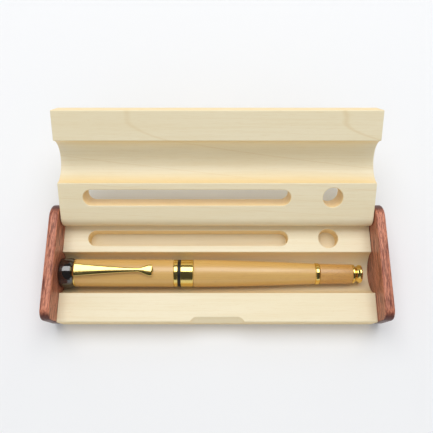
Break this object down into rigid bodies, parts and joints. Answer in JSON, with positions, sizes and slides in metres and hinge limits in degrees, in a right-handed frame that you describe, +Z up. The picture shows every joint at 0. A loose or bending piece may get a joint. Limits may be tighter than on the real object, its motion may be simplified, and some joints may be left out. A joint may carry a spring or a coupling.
{
  "type": "fountain pen case",
  "caption": "Hinged wooden pen case: grooved base and lid between dark end caps, holding a wood and gold fountain pen. Closed, its slot stands cards and its hole stands the pen.",
  "frame": {"origin": "centre of the base block's flat underside", "axes": "+X along the case towards the pen's tail, -Y towards the front edge with the thumb notch, +Z up; the lid lies open on its stop at rest"},
  "size_m": [0.157, 0.0942, 0.0495],
  "materials": {
    "maple": "satin lacquer",
    "rosewood": "satin lacquer",
    "pen_wood": "polished",
    "beech": "raw",
    "gold_plate": "gold plated, polished",
    "steel": "drawn",
    "brass": "drawn",
    "black_resin": "polished",
    "clear_resin": "clear",
    "seal_rubber": "matte"
  },
  "bodies": {
    "case_base": {"base_block": "maple", "end_cap_left": "rosewood", "end_cap_right": "rosewood", "hinge_pin_left": "steel", "hinge_pin_right": "steel", "dowel_front_left": "beech", "dowel_rear_left": "beech", "dowel_front_right": "beech", "dowel_rear_right": "beech"},
    "case_lid": {"lid_block": "maple"},
    "pen": {"cap_finial": "black_resin", "cap_sleeve": "pen_wood", "cap_liner": "brass", "cap_bushing": "brass", "inner_cap": "black_resin", "band_upper_ring": "gold_plate", "band_inlay_ring": "black_resin", "band_lip_ring": "gold_plate", "clip_washer": "gold_plate", "barrel_sleeve": "pen_wood", "tail_ring": "gold_plate", "tail_sleeve": "pen_wood", "barrel_liner": "brass", "end_finial": "gold_plate", "grip_section": "black_resin", "section_collar": "gold_plate", "feed": "black_resin", "nib": "gold_plate", "converter_tube": "clear_resin", "converter_collar": "gold_plate"},
    "pen_clip": {"clip_arm": "gold_plate"},
    "knob": {"converter_knob": "black_resin"},
    "piston": {"converter_piston": "seal_rubber"}
  },
  "joints": [
    {"name": "lid_hinge", "type": "hinge", "parent": "case_base", "child": "case_lid", "pos_m": [0, 0.0224, 0.0169], "axis": [1, 0, 0], "range_deg": [0, 145]},
    {"name": "pen_lift", "type": "slide", "parent": "case_base", "child": "pen", "axis": [0, 0, 1], "range_m": [0, 0.06]},
    {"name": "clip_flex", "type": "hinge", "parent": "pen", "child": "pen_clip", "pos_m": [-0.06626, -0.00425, 0.01803], "axis": [0, -1, 0], "range_deg": [0, 3], "stiffness_Nm_per_rad": 0.5},
    {"name": "converter_twist", "type": "hinge", "parent": "pen", "child": "knob", "pos_m": [0.01927, -0.00425, 0.00801], "axis": [0.9997, 0, -0.0241], "range_deg": [0, 2880]},
    {"name": "piston_travel", "type": "slide", "parent": "pen", "child": "piston", "axis": [0.9997, 0, -0.0241], "range_m": [0, 0.018]}
  ],
  "couplings": [
    {"joint": "converter_twist", "follows": "piston_travel", "rad_per_m": 2792.5}
  ]
}
